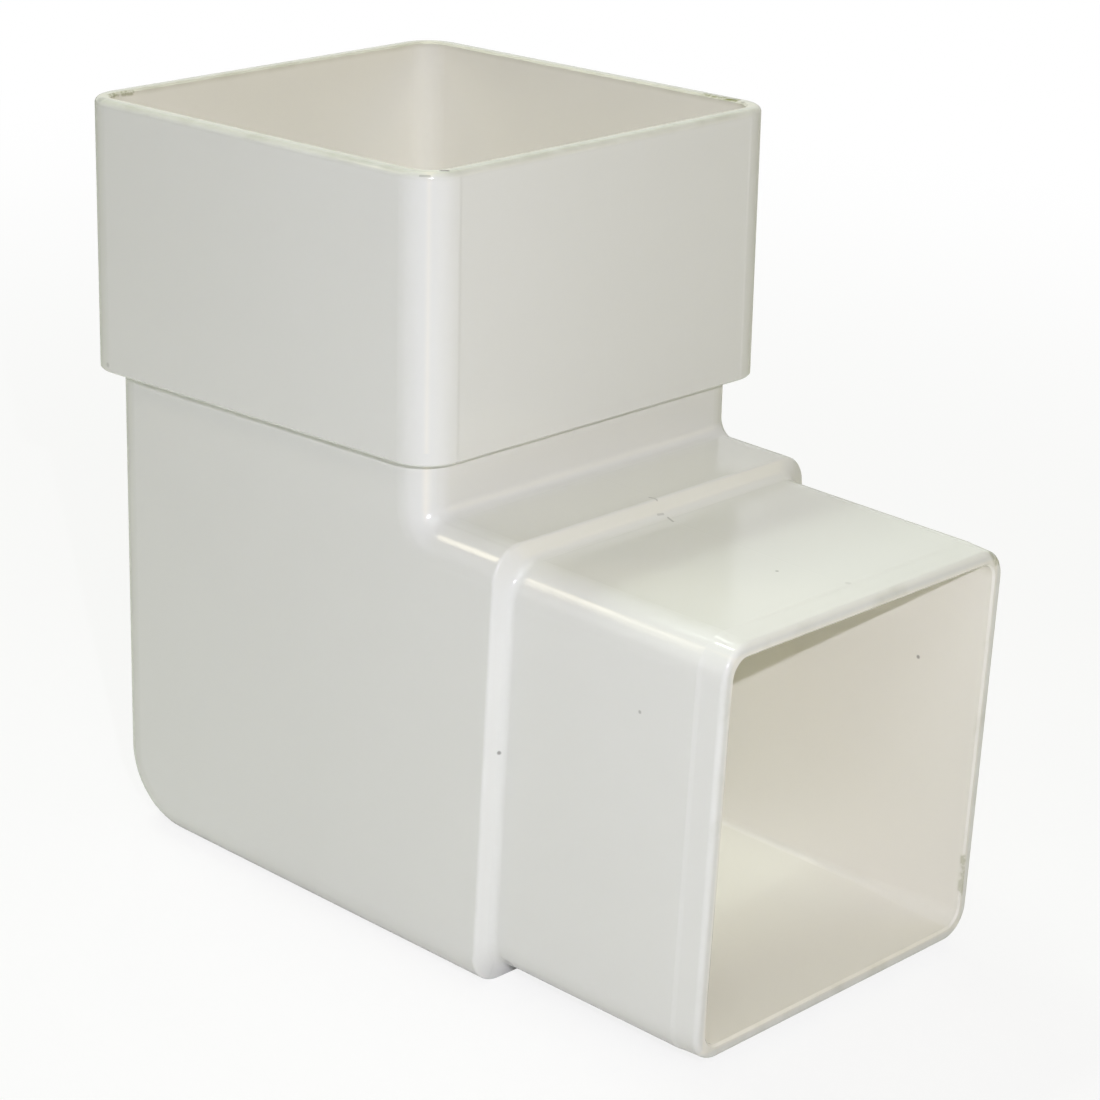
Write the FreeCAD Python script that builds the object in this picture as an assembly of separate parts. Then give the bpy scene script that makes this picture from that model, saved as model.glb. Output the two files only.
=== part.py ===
import FreeCAD, Part
import math
import os

from FreeCAD import Placement, Rotation, Vector

# Square downpipe bend: a socket on top that takes a downpipe, a body that turns the water,
# and a spigot at the side that goes into the bore of the next pipe.
# Millimetres, +Z up. The outlet runs along +X, level with the flat base, which lies on z = 0.
# The origin is on the base, straight below the point where the two axes cross.

# Downpipe that the bend joins
PIPE_WIDTH = 65.0           # outside, across the flats
PIPE_WALL = 2.3
PIPE_CORNER = 3.0           # outside corner radius
SOCKET_CLEARANCE = 0.3      # each side, between the pipe and the foot of the socket
SPIGOT_CLEARANCE = 0.15     # each side, between the spigot and the pipe's bore

# Bend
BEND_ANGLE = 92.5           # degrees, between the axis of the socket and the axis of the outlet
RIM_RISE = 79.4             # along the socket's axis, from the crossing of the axes to the rim
BODY_REACH = 43.9           # along the outlet's axis, from the crossing of the axes to the body's end
OUTLET_REACH = 82.0         # along the outlet's axis, from the crossing of the axes to the spigot's end

# Walls
SOCKET_WALL = 2.4           # at the foot of the socket
BODY_WALL = 2.4
SPIGOT_WALL = 2.35          # at the root of the spigot

# Socket
SOCKET_HEIGHT = 39.8        # outside, from its lower edge to the rim
LEDGE_THICKNESS = 2.4       # of the ledge on which the pipe stops
SOCKET_DRAFT = 0.15         # each side, by which the pocket opens from its foot to the rim
FOOT_BEVEL = 0.3            # lower edge of the socket
RIM_ROUND = 0.9             # outer edge of the rim
RIM_BEVEL = 0.3             # inner edge of the rim

# Body
BODY_CORNER = 5.1           # long edges
FRONT_SETBACK = 0.5         # of the leg's front, behind the line of the pipe
HEEL_RADIUS = 12.3          # outer turn, between the back and the base
CROTCH_RADIUS = 1.8         # inner turn, between the front and the top of the outlet
SHOULDER_LENGTH = 1.2       # slope at the body's end, from the body down to the spigot
SHOULDER_ROUND = 0.5        # edge between the body and that slope
SHOULDER_ROOT = 1.4         # hollow between that slope and the spigot

# Spigot
SPIGOT_CORNER = 4.9         # long edges
SPIGOT_DRAFT = 0.05         # each side, by which the bore opens from the crossing of the axes to the end
LEAD_IN_LENGTH = 4.4        # band at the end that guides the spigot into the pipe
LEAD_IN_DROP = 0.1          # each side, slight step down to the band
LEAD_IN_SLOPE = 0.8         # length of that step
LEAD_IN_TAPER = 0.2         # each side, over the rest of the band
BORE_CORNER = 1.0           # long corners of the bore, up to where they grow rounder
ROUNDING_LENGTH = 20.0      # over which they grow to the mouth
END_ROUND = 0.8             # outer edge of the end
END_BEVEL = 0.3             # inner edge of the end

# Sizes that follow
BODY_WIDTH = PIPE_WIDTH
SOCKET_BORE = PIPE_WIDTH + 2 * SOCKET_CLEARANCE
SOCKET_WIDTH = SOCKET_BORE + 2 * SOCKET_WALL
SOCKET_BORE_CORNER = PIPE_CORNER + SOCKET_CLEARANCE
SOCKET_CORNER = SOCKET_BORE_CORNER + SOCKET_WALL
SOCKET_FOOT = RIM_RISE - SOCKET_HEIGHT
LEDGE_RISE = SOCKET_FOOT + LEDGE_THICKNESS
INLET_BORE = BODY_WIDTH - 2 * BODY_WALL
INLET_CORNER = BODY_CORNER - BODY_WALL
SPIGOT_WIDTH = PIPE_WIDTH - 2 * PIPE_WALL - 2 * SPIGOT_CLEARANCE
SPIGOT_BORE = SPIGOT_WIDTH - 2 * SPIGOT_WALL
MOUTH_CORNER = SPIGOT_CORNER - SPIGOT_WALL
AXIS_HEIGHT = BODY_WIDTH / 2
FLOOR_HEIGHT = AXIS_HEIGHT - SPIGOT_BORE / 2
LEAN = math.radians(BEND_ANGLE - 90.0)
OVERRUN = 5.0               # by which a cut runs past the face that it opens
TOUCH = 0.001               # within which a point counts as lying on a plane

CROSSING = Vector(0, 0, AXIS_HEIGHT)
SOCKET_AXIS = Vector(-math.sin(LEAN), 0, math.cos(LEAN))
OUTLET_AXIS = Vector(1, 0, 0)
ACROSS = Vector(0, 1, 0)

# Local Z of a leg runs along its axis from the crossing, and local Y runs across the bend
INLET_LEG = Placement(CROSSING, Rotation(ACROSS, -math.degrees(LEAN)))
OUTLET_LEG = Placement(CROSSING, Rotation(ACROSS, 90.0))


def rounded_square(width, corner, along):
    """Square outline with round corners, across a leg's axis, at a distance along that axis."""
    half = width / 2
    flat = half - corner
    mid = flat + corner * math.sqrt(0.5)
    edges = []
    for turn in range(4):
        spin = Placement(Vector(0, 0, along), Rotation(Vector(0, 0, 1), 90.0 * turn))
        side = Part.LineSegment(Vector(half, -flat, 0), Vector(half, flat, 0))
        bend = Part.Arc(Vector(half, flat, 0), Vector(mid, mid, 0), Vector(flat, half, 0))
        for curve in (side, bend):
            edge = curve.toShape()
            edge.Placement = spin
            edges.append(edge)
    return Part.Wire(Part.sortEdges(edges)[0])


def leg_solid(leg, sections):
    """Solid along a leg through sections, each a width, a corner radius and a place on the axis."""
    outlines = [rounded_square(*section) for section in sections]
    solid = Part.makeLoft(outlines, True, True)
    solid.Placement = leg
    return solid


def edges_on(shape, point, normal):
    """Edges that lie wholly in the plane through a point."""
    found = []
    for edge in shape.Edges:
        ends = [edge.valueAt(t) for t in (edge.FirstParameter, edge.LastParameter)]
        middle = edge.valueAt((edge.FirstParameter + edge.LastParameter) / 2)
        if all(abs((spot - point).dot(normal)) < TOUCH for spot in ends + [middle]):
            found.append(edge)
    return found


def others(edges, left_out):
    """Edges of a list that are not in another list."""
    return [edge for edge in edges if not any(edge.isSame(other) for other in left_out)]


def end_face(shape, point, normal):
    """Flat face that lies in the plane through a point."""
    for face in shape.Faces:
        corners = [vertex.Point for vertex in face.Vertexes]
        flat = isinstance(face.Surface, Part.Plane)
        if flat and all(abs((corner - point).dot(normal)) < TOUCH for corner in corners):
            return face


def finish_mouth(shape, point, normal, outer_round, inner_bevel):
    """Round the outer edge of an open end, and bevel the inner one."""
    shape = shape.makeFillet(outer_round, end_face(shape, point, normal).OuterWire.Edges)
    face = end_face(shape, point, normal)
    return shape.makeChamfer(inner_bevel, others(face.Edges, face.OuterWire.Edges))


def edges_along(shape, direction, point):
    """Straight edges along a direction, in line with a point."""
    found = []
    for edge in shape.Edges:
        if not isinstance(edge.Curve, Part.Line):
            continue
        middle = edge.valueAt((edge.FirstParameter + edge.LastParameter) / 2)
        offset = middle - point
        aside = offset - direction * offset.dot(direction)
        parallel = abs(abs(edge.Curve.Direction.dot(direction)) - 1) < TOUCH
        if parallel and aside.Length < TOUCH:
            found.append(edge)
    return found


def on_inlet(across, along):
    """Point in the bend's middle plane, by its offset from the socket's axis and its place along it."""
    return INLET_LEG.multVec(Vector(across, 0, along))


def inlet_line_at(across, height):
    """Point in the middle plane where a line beside the socket's axis reaches a height over the base."""
    along = (height - on_inlet(across, 0).z) / SOCKET_AXIS.z
    return on_inlet(across, along)


def slab(points, width):
    """Flat profile in the bend's middle plane, drawn out evenly to both sides."""
    profile = Part.Face(Part.makePolygon(points + points[:1]))
    profile.translate(ACROSS * (-width / 2))
    return profile.extrude(ACROSS * width)


def make_body():
    """Bent square body: back, base, end, top of the outlet and front, with its round edges."""
    half = BODY_WIDTH / 2
    heel = inlet_line_at(-half, 0)
    front = half - FRONT_SETBACK
    crotch = inlet_line_at(front, BODY_WIDTH)
    corners = [
        on_inlet(-half, LEDGE_RISE),
        heel,
        Vector(BODY_REACH, 0, 0),
        Vector(BODY_REACH, 0, BODY_WIDTH),
        crotch,
        on_inlet(front, LEDGE_RISE),
    ]
    body = slab(corners, BODY_WIDTH)
    body = body.makeFillet(HEEL_RADIUS, edges_along(body, ACROSS, heel))
    body = body.makeFillet(CROTCH_RADIUS, edges_along(body, ACROSS, crotch))
    end = Vector(BODY_REACH, 0, 0)
    ends = edges_on(body, on_inlet(0, LEDGE_RISE), SOCKET_AXIS) + edges_on(body, end, OUTLET_AXIS)
    outlines = edges_on(body, ACROSS * -half, ACROSS) + edges_on(body, ACROSS * half, ACROSS)
    return body.makeFillet(BODY_CORNER, others(outlines, ends))


def make_socket():
    """Outside of the square socket, with its lower edge bevelled."""
    socket = leg_solid(INLET_LEG, [
        (SOCKET_WIDTH, SOCKET_CORNER, SOCKET_FOOT),
        (SOCKET_WIDTH, SOCKET_CORNER, RIM_RISE),
    ])
    return socket.makeChamfer(FOOT_BEVEL, edges_on(socket, on_inlet(0, SOCKET_FOOT), SOCKET_AXIS))


def make_spigot():
    """Outside of the square spigot: sloping shoulder, straight run and tapered lead-in at the end."""
    root = BODY_REACH + SHOULDER_LENGTH
    step = OUTLET_REACH - LEAD_IN_LENGTH
    band = SPIGOT_WIDTH - 2 * LEAD_IN_DROP
    tip = band - 2 * LEAD_IN_TAPER
    return leg_solid(OUTLET_LEG, [
        (BODY_WIDTH, BODY_CORNER, BODY_REACH),
        (SPIGOT_WIDTH, SPIGOT_CORNER, root),
        (SPIGOT_WIDTH, SPIGOT_CORNER, step),
        (band, SPIGOT_CORNER - LEAD_IN_DROP, step + LEAD_IN_SLOPE),
        (tip, SPIGOT_CORNER - LEAD_IN_DROP - LEAD_IN_TAPER, OUTLET_REACH),
    ])


def make_pocket():
    """Space for the pipe in the socket, from the ledge up past the rim."""
    depth = RIM_RISE - LEDGE_RISE
    opened = SOCKET_DRAFT * (depth + OVERRUN) / depth
    return leg_solid(INLET_LEG, [
        (SOCKET_BORE, SOCKET_BORE_CORNER, LEDGE_RISE),
        (SOCKET_BORE + 2 * opened, SOCKET_BORE_CORNER + opened, RIM_RISE + OVERRUN),
    ])


def make_inlet_passage():
    """Way down through the body, to a floor level with that of the outlet, round at the heel."""
    half = INLET_BORE / 2
    front = half - FRONT_SETBACK
    heel = inlet_line_at(-half, FLOOR_HEIGHT)
    corners = [
        on_inlet(-half, LEDGE_RISE + OVERRUN),
        heel,
        inlet_line_at(front, FLOOR_HEIGHT),
        on_inlet(front, LEDGE_RISE + OVERRUN),
    ]
    passage = slab(corners, INLET_BORE)
    passage = passage.makeFillet(HEEL_RADIUS - BODY_WALL, edges_along(passage, ACROSS, heel))
    top = edges_on(passage, on_inlet(0, LEDGE_RISE + OVERRUN), SOCKET_AXIS)
    outlines = edges_on(passage, ACROSS * -half, ACROSS) + edges_on(passage, ACROSS * half, ACROSS)
    return passage.makeFillet(INLET_CORNER, others(outlines, top))


def make_outlet_passage():
    """Way out through the body's end and the spigot, opening and growing rounder towards the mouth."""
    rounding = OUTLET_REACH - ROUNDING_LENGTH
    past = OUTLET_REACH + OVERRUN
    growth = (MOUTH_CORNER - BORE_CORNER) / ROUNDING_LENGTH
    widening = 2 * SPIGOT_DRAFT / OUTLET_REACH
    return leg_solid(OUTLET_LEG, [
        (SPIGOT_BORE, BORE_CORNER, 0),
        (SPIGOT_BORE + widening * rounding, BORE_CORNER, rounding),
        (SPIGOT_BORE + widening * past, BORE_CORNER + growth * (past - rounding), past),
    ])


def make_elbow():
    """The whole moulding."""
    outside = make_body().multiFuse([make_socket(), make_spigot()]).removeSplitter()
    shoulder = Vector(BODY_REACH, 0, 0)
    root = shoulder + OUTLET_AXIS * SHOULDER_LENGTH
    outside = outside.makeFillet(SHOULDER_ROUND, edges_on(outside, shoulder, OUTLET_AXIS))
    outside = outside.makeFillet(SHOULDER_ROOT, edges_on(outside, root, OUTLET_AXIS))
    elbow = outside.cut(make_pocket()).cut(make_inlet_passage()).cut(make_outlet_passage())
    elbow = elbow.removeSplitter()
    mouth = CROSSING + OUTLET_AXIS * OUTLET_REACH
    elbow = finish_mouth(elbow, on_inlet(0, RIM_RISE), SOCKET_AXIS, RIM_ROUND, RIM_BEVEL)
    elbow = finish_mouth(elbow, mouth, OUTLET_AXIS, END_ROUND, END_BEVEL)
    return elbow.Solids[0]


os.makedirs("parts", exist_ok=True)
elbow = make_elbow()
elbow.exportStep("parts/elbow.step")
print("elbow valid", elbow.isValid(), "volume", round(elbow.Volume / 1000, 2), "cm3")
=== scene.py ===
"""Looks of a white moulded downpipe bend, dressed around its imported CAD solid."""

import logging
import math
from dataclasses import dataclass, field
from enum import Enum

import bpy
from mathutils import Matrix, Vector


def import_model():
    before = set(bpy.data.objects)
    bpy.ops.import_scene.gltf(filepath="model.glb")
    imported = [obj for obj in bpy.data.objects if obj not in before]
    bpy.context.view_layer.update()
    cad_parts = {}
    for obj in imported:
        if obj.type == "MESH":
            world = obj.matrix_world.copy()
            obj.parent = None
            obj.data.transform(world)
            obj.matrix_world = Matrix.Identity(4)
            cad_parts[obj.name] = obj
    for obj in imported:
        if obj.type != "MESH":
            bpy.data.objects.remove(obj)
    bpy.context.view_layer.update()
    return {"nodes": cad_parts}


LOG = logging.getLogger("downpipe_bend")
MM = 0.001
WHITE = (1.0, 1.0, 1.0, 1.0)
SPOT_CORE = 0.35  # share of a blemish's reach within which it has its full strength
MIX_COLOURS = (6, 7)  # numbers of the Mix node's two colour inputs
MIX_RESULT = 2  # number of its colour output
Colour = tuple[float, float, float]
Point = tuple[float, float, float]
Span = tuple[float, float]
Socket = bpy.types.NodeSocket
Value = float | Socket
Paint = Colour | Socket
Inputs = dict[str | int, object]


def metres(point: Point) -> Vector:
    """Turns a point in millimetres into metres."""
    return Vector(point) * MM


class Graph:
    """Node tree of one material or of the world, with short calls for the nodes used here."""

    def __init__(self, tree: bpy.types.NodeTree) -> None:
        """Takes a tree for the nodes and empties it."""
        self.tree = tree
        self.tree.nodes.clear()

    def node(self, kind: str, inputs: Inputs | None = None, **settings: object) -> bpy.types.Node:
        """Adds a node.

        Args:
            kind: Blender's name of the node type.
            inputs: Values or output sockets, by the name or number of the input.
            settings: Other properties of the node.

        Returns:
            The new node.
        """
        made = self.tree.nodes.new(kind)
        for name, value in settings.items():
            setattr(made, name, value)
        for name, value in (inputs or {}).items():
            if isinstance(value, Socket):
                self.tree.links.new(value, made.inputs[name])
            else:
                made.inputs[name].default_value = value
        return made

    def maths(self, operation: str, first: Value, second: Value = 0.0, third: Value = 0.0) -> Socket:
        """Works out one number from up to three, by Blender's name of the operation."""
        inputs = {0: first, 1: second, 2: third}
        return self.node("ShaderNodeMath", inputs, operation=operation).outputs[0]

    def vector(self, operation: str, inputs: Inputs) -> Socket:
        """Works out one vector from the inputs, by Blender's name of the operation."""
        return self.node("ShaderNodeVectorMath", inputs, operation=operation).outputs["Vector"]

    def measure(self, operation: str, inputs: Inputs) -> Socket:
        """Works out one number from vectors, by Blender's name of the operation."""
        return self.node("ShaderNodeVectorMath", inputs, operation=operation).outputs["Value"]

    def blend(self, share: Socket, first: Paint, second: Paint) -> Socket:
        """Mixes two colours.

        Args:
            share: Socket with the share of the second colour.
            first: Colour or output socket.
            second: Colour or output socket.

        Returns:
            The mixed colour's socket.
        """
        inputs: Inputs = {0: share}
        for number, paint in zip(MIX_COLOURS, (first, second)):
            inputs[number] = paint if isinstance(paint, Socket) else (*paint, 1.0)
        return self.node("ShaderNodeMix", inputs, data_type="RGBA").outputs[MIX_RESULT]

    def ramp(
        self, value: Socket, low: float, high: float, start: float = 0.0, end: float = 1.0
    ) -> Socket:
        """Maps a number from low and high smoothly onto start and end, which it keeps beyond them."""
        inputs = {"Value": value, "From Min": low, "From Max": high, "To Min": start, "To Max": end}
        return self.node("ShaderNodeMapRange", inputs, interpolation_type="SMOOTHSTEP").outputs[0]

    def noise(self, place: Socket, size: float, detail: float) -> Socket:
        """Makes noise around a half, with clouds of a size in millimetres and octaves of finer detail."""
        inputs = {"Vector": place, "Scale": 1.0 / size, "Detail": detail}
        return self.node("ShaderNodeTexNoise", inputs).outputs[0]


@dataclass(frozen=True)
class BendShape:
    """Sizes of the bend in millimetres, by which the finish finds the passages and the edges."""

    axis_height: float = 32.5
    lean: float = 2.5
    base_middle: float = 2.4
    outlet_start: float = 28.0
    outlet_wall: Span = (28.0, 28.8)
    inlet_wall: Span = (30.6, 31.4)
    socket_wall: Span = (33.2, 34.0)
    ledge_rise: float = 41.5
    rim_rise: float = 79.4
    outlet_reach: float = 82.0


@dataclass(frozen=True)
class Place:
    """Sockets with a place on the bend in millimetres, in the part's frame and in the leaning leg's."""

    whole: Socket
    x: Socket
    y: Socket
    z: Socket
    rise: Socket
    along: Socket
    across: Socket

    @classmethod
    def find(cls, graph: Graph, shape: BendShape) -> "Place":
        """Adds the nodes that find the place.

        Args:
            graph: Tree that the nodes go into.
            shape: Sizes of the bend.

        Returns:
            The place, with the height over the outlet's axis and the places along and across the socket's.
        """
        coordinates = graph.node("ShaderNodeTexCoord").outputs["Object"]
        whole = graph.vector("SCALE", {0: coordinates, "Scale": 1.0 / MM})
        x, y, z = graph.node("ShaderNodeSeparateXYZ", {0: whole}).outputs
        rise = graph.maths("SUBTRACT", z, shape.axis_height)
        sine = math.sin(math.radians(shape.lean))
        cosine = math.cos(math.radians(shape.lean))
        along = graph.maths("MULTIPLY_ADD", x, -sine, graph.maths("MULTIPLY", rise, cosine))
        across = graph.maths("MULTIPLY_ADD", rise, sine, graph.maths("MULTIPLY", x, cosine))
        return cls(whole, x, y, z, rise, along, across)


@dataclass(frozen=True)
class Spot:
    """Small blemish: its place and reach in millimetres, its strength, and the other end of a streak."""

    place: Point
    reach: float
    share: float
    end: Point | None = None

    def gap(self, graph: Graph, place: Place) -> Socket:
        """Works out how far the surface is from the blemish.

        Args:
            graph: Tree that the nodes go into.
            place: Place on the bend.

        Returns:
            Socket with the distance in millimetres.
        """
        if self.end is None:
            return graph.measure("DISTANCE", {0: place.whole, 1: self.place})
        run = Vector(self.end) - Vector(self.place)
        offset = graph.vector("SUBTRACT", {0: place.whole, 1: self.place})
        passed = graph.measure("DOT_PRODUCT", {0: offset, 1: run / run.length_squared})
        held = graph.node("ShaderNodeClamp", {0: passed}).outputs[0]
        foot = graph.vector("SCALE", {0: run, "Scale": held})
        return graph.measure("DISTANCE", {0: offset, 1: foot})


@dataclass(frozen=True)
class Mottle:
    """Cloudy unevenness: size in millimetres, octaves, two limits in the noise, and the results at them."""

    size: float
    detail: float
    low: float
    high: float
    least: float
    most: float

    def spread(self, graph: Graph, place: Place) -> Socket:
        """Spreads it over the surface, as a number from the least to the most."""
        clouds = graph.noise(place.whole, self.size, self.detail)
        return graph.ramp(clouds, self.low, self.high, self.least, self.most)


@dataclass(frozen=True)
class Relief:
    """Slight relief of the moulded surface: sizes, places and heights in millimetres."""

    wave_size: float = 26.0
    wave_height: float = 0.10
    grain_size: float = 2.4
    grain_height: float = 0.0012
    detail: float = 1.0
    seam_reach: float = 0.22
    seam_height: float = 0.006
    step_run: Span = (77.5, 78.5)
    step_height: float = 0.05
    step_sides: Span = (29.0, 29.6)

    def normal(self, graph: Graph, place: Place) -> Socket:
        """Makes the waves, the grain, the mould's parting line and the lead-in's step on the sides.

        Args:
            graph: Tree that the nodes go into.
            place: Place on the bend.

        Returns:
            Socket with the bumped normal.
        """
        wave_noise = graph.noise(place.whole, self.wave_size, self.detail)
        grain_noise = graph.noise(place.whole, self.grain_size, self.detail)
        waves = graph.maths("MULTIPLY", wave_noise, self.wave_height)
        grain = graph.maths("MULTIPLY", grain_noise, self.grain_height)
        aside = graph.maths("ABSOLUTE", place.y)
        seam = graph.ramp(aside, 0.0, self.seam_reach, self.seam_height, 0.0)
        sides = graph.ramp(aside, *self.step_sides)
        step = graph.maths("MULTIPLY", sides, graph.ramp(place.x, *self.step_run, self.step_height, 0.0))
        height = graph.maths("ADD", graph.maths("ADD", waves, grain), graph.maths("ADD", seam, step))
        return graph.node("ShaderNodeBump", {"Height": height, "Distance": MM, "Strength": 1.0}).outputs[0]


@dataclass(frozen=True)
class MouldedPlastic:
    """Off-white moulded plastic with a soft gloss, with the passages' walls painted paler and warmer as
    painted bounce light, and with faint clouds, dark specks, green soiling and painted shade.
    """

    name: str = "white_upvc"
    outside: Colour = (0.87, 0.87, 0.835)
    # painted light: a paler, warmer colour for the passages' walls, standing in for the light that bounces
    # around within them
    passage_painted_light: Colour = (0.965, 0.94, 0.865)
    cloud: Colour = (0.80, 0.80, 0.755)
    # green colour of real soiling, also laid on as painted shade on the rim band and under the mouth's top
    # lip
    grime_and_shade: Colour = (0.19, 0.205, 0.02)
    # dark colour of the specks, also used for one painted shadow
    speck_and_shadow: Colour = (0.10, 0.09, 0.07)
    roughness: float = 0.165
    dirt_and_shade_dullness: float = 0.07
    rim_depth: float = 1.2
    mouth_depth: float = 0.9
    clouding: Mottle = Mottle(48.0, 1.0, 0.3, 0.8, 0.0, 0.16)
    gloss: Mottle = Mottle(14.0, 2.0, 0.3, 0.75, -0.025, 0.04)
    patches: Mottle = Mottle(0.8, 2.0, 0.34, 0.6, 0.15, 1.0)
    # real soiling and painted shade: at least this share of the green colour covers the rim's top band, which
    # also dims its lit top
    rim_dirt_and_shade: Mottle = Mottle(5.0, 4.0, 0.35, 0.75, 0.18, 0.32)
    mouth_dirt: Mottle = Mottle(5.0, 4.0, 0.45, 0.8, 0.01, 0.16)
    shape: BendShape = BendShape()
    relief: Relief = Relief()
    grime_and_shade_spots: tuple[Spot, ...] = (
        Spot((-35.7, -31.8, 110.3), 0.7, 0.5, (-36.3, -29.9, 110.2)),
        Spot((-36.4, -28.8, 110.1), 0.6, 0.5, (-36.4, -27.1, 110.0)),
        Spot((19.4, 33.4, 112.9), 0.7, 0.7, (22.6, 33.5, 113.0)),
        Spot((22.6, 33.5, 113.0), 0.85, 1.0, (25.4, 33.6, 113.1)),
        Spot((81.8, 27.9, 15.2), 0.6, 0.4, (81.9, 28.0, 9.3)),
        # painted shade: a dark line along the inner edge of the mouth's top lip at its far corner, where
        # shade falls
        Spot((81.7, 26.9, 61.8), 0.9, 0.45, (82.0, 28.2, 60.2)),
    )
    speck_and_shadow_spots: tuple[Spot, ...] = (
        Spot((-34.5, -34.4, 110.4), 1.0, 0.25),
        Spot((27.0, 33.1, 113.1), 0.6, 0.3),
        Spot((44.9, -30.6, 35.7), 0.4, 0.6),
        Spot((70.7, 27.7, 42.5), 0.4, 0.6),
        Spot((68.5, -3.5, 62.55), 0.35, 0.45),
        Spot((68.7, -30.05, 49.6), 0.35, 0.4),
        Spot((42.9, -0.5, 65.0), 0.25, 0.3, (44.4, 0.0, 64.8)),
        Spot((44.9, -0.8, 63.1), 0.25, 0.25, (45.0, 0.2, 63.0)),
        Spot((45.7, 0.5, 62.6), 0.25, 0.35, (47.1, -0.1, 62.6)),
        Spot((77.4, 0.5, 62.55), 0.6, 0.15),
        Spot((30.0, -31.1, 113.3), 0.55, 0.9, (30.4, -30.7, 113.3)),
        Spot((29.0, -34.15, 112.8), 0.22, 0.35, (30.0, -33.4, 112.9)),
        Spot((-31.7, -35.2, 71.9), 0.5, 0.25),
        # painted shadow: a dark patch on the spigot's bottom edge where it meets the step, whose face lies in
        # the spigot's shadow
        Spot((47.3, -28.7, 4.0), 1.2, 0.35),
        Spot((-33.1, 11.0, 45.0), 0.4, 0.5),
        Spot((5.0, 32.5, 30.0), 0.4, 0.5),
        Spot((-10.0, 35.2, 95.0), 0.4, 0.45),
        Spot((-37.7, -12.0, 90.0), 0.4, 0.45),
    )

    def material(self) -> bpy.types.Material:
        """Makes the material.

        Returns:
            The material, under the finish's name.
        """
        material = bpy.data.materials.new(self.name)
        material.use_nodes = True
        graph = Graph(material.node_tree)
        place = Place.find(graph, self.shape)
        streaks_and_lip_shade = self.streaks_and_lip_shade(graph, place)
        edge_dirt_and_rim_shade = self.edge_dirt_and_rim_shade(graph, place)
        # painted light: the passages' walls take the paler colour of painted bounce light
        colour = graph.blend(self.within(graph, place), self.outside, self.passage_painted_light)
        colour = graph.blend(self.clouding.spread(graph, place), colour, self.cloud)
        # real soiling and painted shade: the rim's top band and the open ends' edges take the green colour
        colour = graph.blend(edge_dirt_and_rim_shade, colour, self.grime_and_shade)
        # real soiling and painted shade: the streaks and the lip's shade line take the green colour
        colour = graph.blend(streaks_and_lip_shade, colour, self.grime_and_shade)
        # dark specks, and one painted shadow where the spigot's bottom edge meets the step
        colour = graph.blend(self.near(graph, place, self.speck_and_shadow_spots), colour, self.speck_and_shadow)
        dirt_and_shade = graph.maths("MAXIMUM", streaks_and_lip_shade, edge_dirt_and_rim_shade)
        dull = graph.maths("ADD", self.gloss.spread(graph, place), self.roughness)
        dull = graph.maths("MULTIPLY_ADD", dirt_and_shade, self.dirt_and_shade_dullness, dull)
        inputs = {"Base Color": colour, "Roughness": dull, "Normal": self.relief.normal(graph, place)}
        surface = graph.node("ShaderNodeBsdfPrincipled", inputs)
        graph.node("ShaderNodeOutputMaterial", {"Surface": surface.outputs[0]})
        return material

    def within(self, graph: Graph, place: Place) -> Socket:
        """Finds the walls of the passages, which take the paler colour of painted bounce light.

        Args:
            graph: Tree that the nodes go into.
            place: Place on the bend.

        Returns:
            Socket with 1 on the passages' walls, 0 outside.
        """
        shape = self.shape
        aside = graph.maths("ABSOLUTE", place.y)
        outlet = graph.maths("MAXIMUM", aside, graph.maths("ABSOLUTE", place.rise))
        inlet = graph.maths("MAXIMUM", aside, graph.maths("ABSOLUTE", place.across))
        found: Value = 0.0
        for offset, wall, reach, start in (
            (outlet, shape.outlet_wall, place.x, shape.outlet_start),
            (inlet, shape.inlet_wall, place.z, shape.base_middle),
            (inlet, shape.socket_wall, place.along, shape.ledge_rise),
        ):
            past = graph.maths("GREATER_THAN", reach, start)
            passage = graph.maths("MULTIPLY", graph.ramp(offset, *wall, 1.0, 0.0), past)
            found = graph.maths("MAXIMUM", passage, found)
        return found

    def near(self, graph: Graph, place: Place, spots: tuple[Spot, ...]) -> Socket:
        """Finds the surface close to any of some blemishes.

        Args:
            graph: Tree that the nodes go into.
            place: Place on the bend.
            spots: Blemishes to find.

        Returns:
            Socket with the blemishes' strength.
        """
        found: Value = 0.0
        for spot in spots:
            faded = graph.ramp(spot.gap(graph, place), SPOT_CORE * spot.reach, spot.reach, spot.share, 0.0)
            found = graph.maths("MAXIMUM", faded, found)
        return found

    def streaks_and_lip_shade(self, graph: Graph, place: Place) -> Socket:
        """Finds the green streaks of real soiling and a painted shade line under the mouth's top lip, broken
        up into patches, as their share of colour.
        """
        streaks = self.near(graph, place, self.grime_and_shade_spots)
        return graph.maths("MULTIPLY", streaks, self.patches.spread(graph, place))

    def edge_dirt_and_rim_shade(self, graph: Graph, place: Place) -> Socket:
        """Finds the worn, slightly stained edges of the two open ends, and darkens the rim's top band with
        painted shade as well.

        Args:
            graph: Tree that the nodes go into.
            place: Place on the bend.

        Returns:
            Socket with the share of real staining and painted shade.
        """
        shape = self.shape
        rim = graph.ramp(place.along, shape.rim_rise - self.rim_depth, shape.rim_rise)
        mouth = graph.ramp(place.x, shape.outlet_reach - self.mouth_depth, shape.outlet_reach)
        on_rim = graph.maths("MULTIPLY", rim, self.rim_dirt_and_shade.spread(graph, place))
        on_mouth = graph.maths("MULTIPLY", mouth, self.mouth_dirt.spread(graph, place))
        return graph.maths("MAXIMUM", on_rim, on_mouth)


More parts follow.
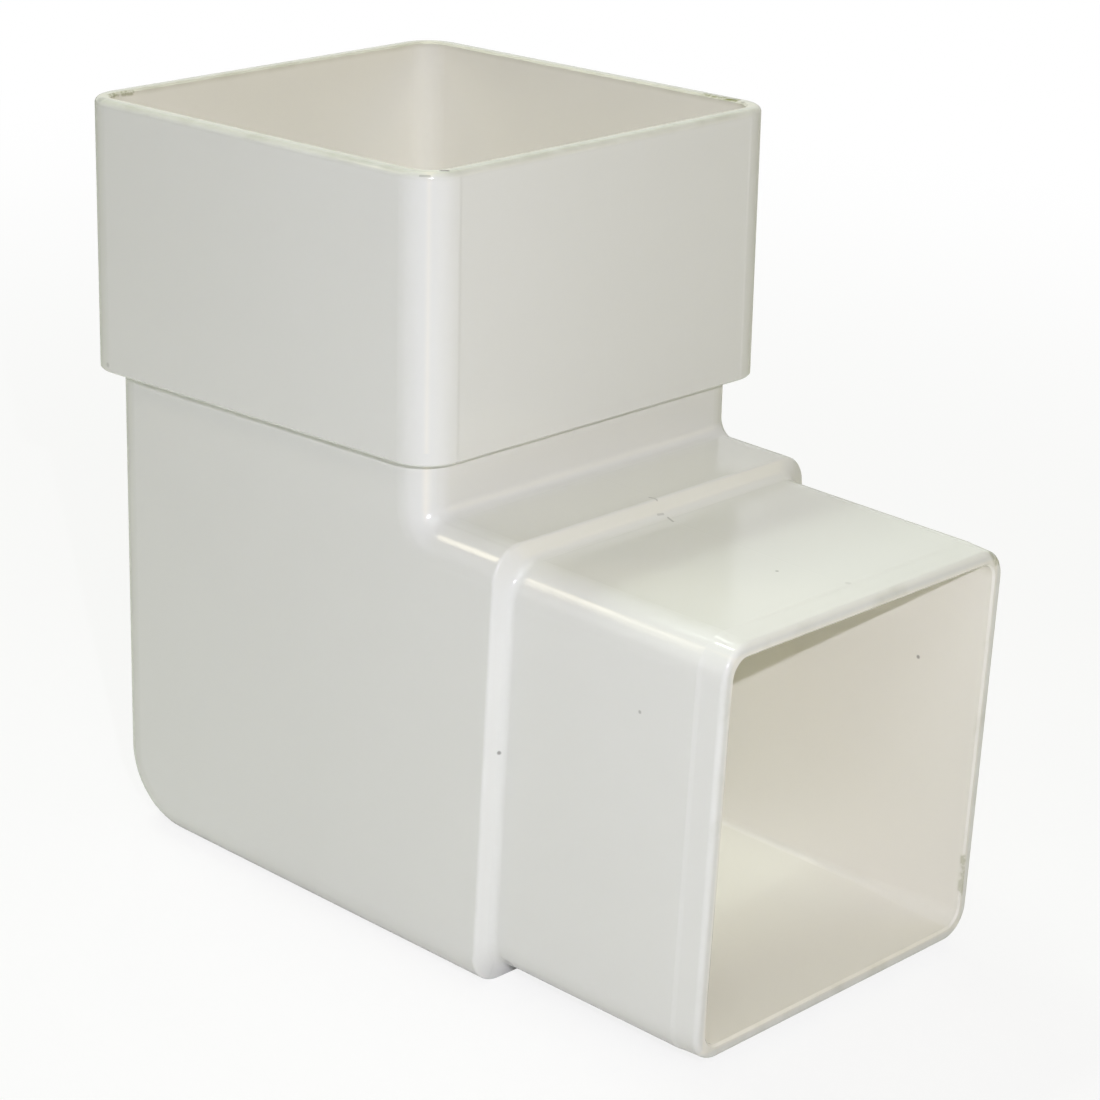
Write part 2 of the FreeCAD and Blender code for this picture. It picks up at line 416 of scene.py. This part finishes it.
@dataclass
class DownpipeBend:
    """The one moulded piece: socket, bent body and spigot."""

    node: str = "elbow"
    finish: MouldedPlastic = field(default_factory=MouldedPlastic)

    def dress(self, nodes: dict[str, bpy.types.Object]) -> None:
        """Gives the CAD solid its finish.

        Args:
            nodes: CAD nodes by name.
        """
        piece = nodes[self.node]
        piece.data.materials.clear()
        piece.data.materials.append(self.finish.material())
        LOG.info("dressed %s with %s", piece.name, self.finish.name)


class LampShape(Enum):
    """Outlines of a lamp's window."""

    DISK = "DISK"
    SQUARE = "SQUARE"


@dataclass(frozen=True)
class Lamp:
    """Lamp of the studio, with its place and size in millimetres. Gloss shows it only if it is mirrored."""

    name: str
    place: Point
    size: float
    power: float
    colour: Colour
    shape: LampShape = LampShape.SQUARE
    mirrored: bool = True

    def build(self, target: Point) -> bpy.types.Object:
        """Adds the lamp.

        Args:
            target: Place that the lamp is turned to.

        Returns:
            The lamp.
        """
        aim = metres(self.place) - metres(target)
        data = bpy.data.lights.new(self.name, "AREA")
        data.shape = self.shape.value
        data.size = self.size * MM
        data.energy = self.power
        data.color = self.colour
        lamp = bpy.data.objects.new(self.name, data)
        lamp.visible_glossy = self.mirrored
        lamp.location = metres(self.place)
        lamp.rotation_euler = aim.to_track_quat("Z", "Y").to_euler()
        bpy.context.scene.collection.objects.link(lamp)
        LOG.info("placed lamp %s", self.name)
        return lamp


@dataclass
class Studio:
    """White surroundings: floor, ambient light and lamps. The floor turns plain white across its fade."""

    floor_size: float = 9000.0
    floor_drop: float = 0.1
    floor_colour: Colour = (0.90, 0.90, 0.89)
    floor_white: float = 0.85
    floor_fade: Span = (140.0, 480.0)
    ambient: float = 0.02
    aim: Point = (20.0, 0.0, 50.0)
    lamps: tuple[Lamp, ...] = (
        Lamp("key", (351.1, -300.5, 261.7), 5.0, 1.055, (0.90, 0.886, 1.0), LampShape.DISK),
        Lamp("back_high", (-470.0, 0.0, 900.0), 250.0, 2.42, (0.91, 1.0, 0.89), mirrored=False),
        Lamp("back_left", (-421.0, -37.0, 928.0), 40.0, 0.45, (0.91, 1.0, 0.89)),
        Lamp("back_right", (-380.0, 243.0, 908.0), 40.0, 0.45, (0.91, 1.0, 0.89)),
        Lamp("front_high", (450.0, -450.0, 800.0), 500.0, 1.54, (0.96, 1.0, 0.957)),
        Lamp("overhead", (0.0, 0.0, 1000.0), 500.0, 1.16, (1.0, 1.0, 0.65)),
        Lamp("left_edge", (-529.0, -414.0, 626.0), 160.0, 0.57, (1.0, 0.905, 0.66)),
        Lamp("outlet_side", (640.0, 520.0, 350.0), 400.0, 0.43, (1.0, 0.78, 0.05)),
        Lamp("far_side", (-250.0, 900.0, 90.0), 500.0, 2.0, (1.0, 1.0, 1.0), mirrored=False),
    )

    def build(self) -> None:
        """Adds the floor, the ambient light and the lamps."""
        self.lay_floor()
        self.light_world()
        for lamp in self.lamps:
            lamp.build(self.aim)

    def lay_floor(self) -> None:
        """Lays a plain pale floor that takes the piece's shadow."""
        bpy.ops.object.select_all(action="DESELECT")
        below = (0.0, 0.0, -self.floor_drop * MM)
        bpy.ops.mesh.primitive_plane_add(size=self.floor_size * MM, location=below)
        floor = bpy.context.object
        floor.name = "floor"
        material = bpy.data.materials.new("floor_white")
        material.use_nodes = True
        graph = Graph(material.node_tree)
        matt = graph.node("ShaderNodeBsdfDiffuse", {"Color": (*self.floor_colour, 1.0)})
        white = graph.node("ShaderNodeEmission", {"Color": WHITE, "Strength": 1.0})
        place = graph.node("ShaderNodeTexCoord").outputs["Object"]
        near, far = self.floor_fade
        whitened = graph.ramp(graph.measure("LENGTH", {0: place}), near * MM, far * MM, self.floor_white, 1.0)
        seen = graph.node("ShaderNodeLightPath").outputs["Is Camera Ray"]
        share = graph.maths("MULTIPLY", seen, whitened)
        mixed = graph.node("ShaderNodeMixShader", {0: share, 1: matt.outputs[0], 2: white.outputs[0]})
        graph.node("ShaderNodeOutputMaterial", {"Surface": mixed.outputs[0]})
        floor.data.materials.append(material)
        LOG.info("laid the floor")

    def light_world(self) -> None:
        """Surrounds the piece with weak even light, which looks white itself and in the gloss."""
        world = bpy.data.worlds.new("studio")
        world.use_nodes = True
        bpy.context.scene.world = world
        graph = Graph(world.node_tree)
        even = graph.node("ShaderNodeBackground", {"Color": WHITE, "Strength": self.ambient})
        white = graph.node("ShaderNodeBackground", {"Color": WHITE, "Strength": 1.0})
        path = graph.node("ShaderNodeLightPath").outputs
        seen = graph.maths("MAXIMUM", path["Is Camera Ray"], path["Is Glossy Ray"])
        mixed = graph.node("ShaderNodeMixShader", {0: seen, 1: even.outputs[0], 2: white.outputs[0]})
        graph.node("ShaderNodeOutputWorld", {"Surface": mixed.outputs[0]})
        LOG.info("lit the surroundings")


@dataclass(frozen=True)
class Viewpoint:
    """Camera of the product photograph: angles in degrees, lengths in millimetres, focal length in pixels."""

    azimuth: float = 41.952
    elevation: float = 20.735
    roll: float = 3.279
    target: Point = (22.85, 1.85, 50.64)
    distance: float = 480.89
    focal: float = 3333.7
    picture: float = 1100.0
    clip: float = 10.0

    def build(self) -> bpy.types.Object:
        """Adds the camera and makes it the scene's own.

        Returns:
            The camera.
        """
        turn, rise, roll = (math.radians(angle) for angle in (self.azimuth, self.elevation, self.roll))
        level = Vector((math.cos(turn), math.sin(turn), 0.0))
        back = Vector((math.sin(turn) * math.cos(rise), -math.cos(turn) * math.cos(rise), math.sin(rise)))
        upright = back.cross(level)
        right = level * math.cos(roll) + upright * math.sin(roll)
        up = upright * math.cos(roll) - level * math.sin(roll)
        data = bpy.data.cameras.new("camera")
        data.lens = self.focal / self.picture * data.sensor_width
        data.clip_start = self.clip * MM
        camera = bpy.data.objects.new("camera", data)
        place = metres(self.target) + back * self.distance * MM
        camera.matrix_world = Matrix.Translation(place) @ Matrix((right, up, back)).transposed().to_4x4()
        bpy.context.scene.collection.objects.link(camera)
        bpy.context.scene.camera = camera
        LOG.info("placed the camera")
        return camera


def main() -> None:
    """Builds and dresses everything."""
    logging.basicConfig(level=logging.INFO, format="%(name)s: %(message)s")
    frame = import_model()
    bpy.context.scene.view_settings.view_transform = "Standard"
    DownpipeBend().dress(frame["nodes"])
    Studio().build()
    Viewpoint().build()


if __name__ == "__main__":
    main()
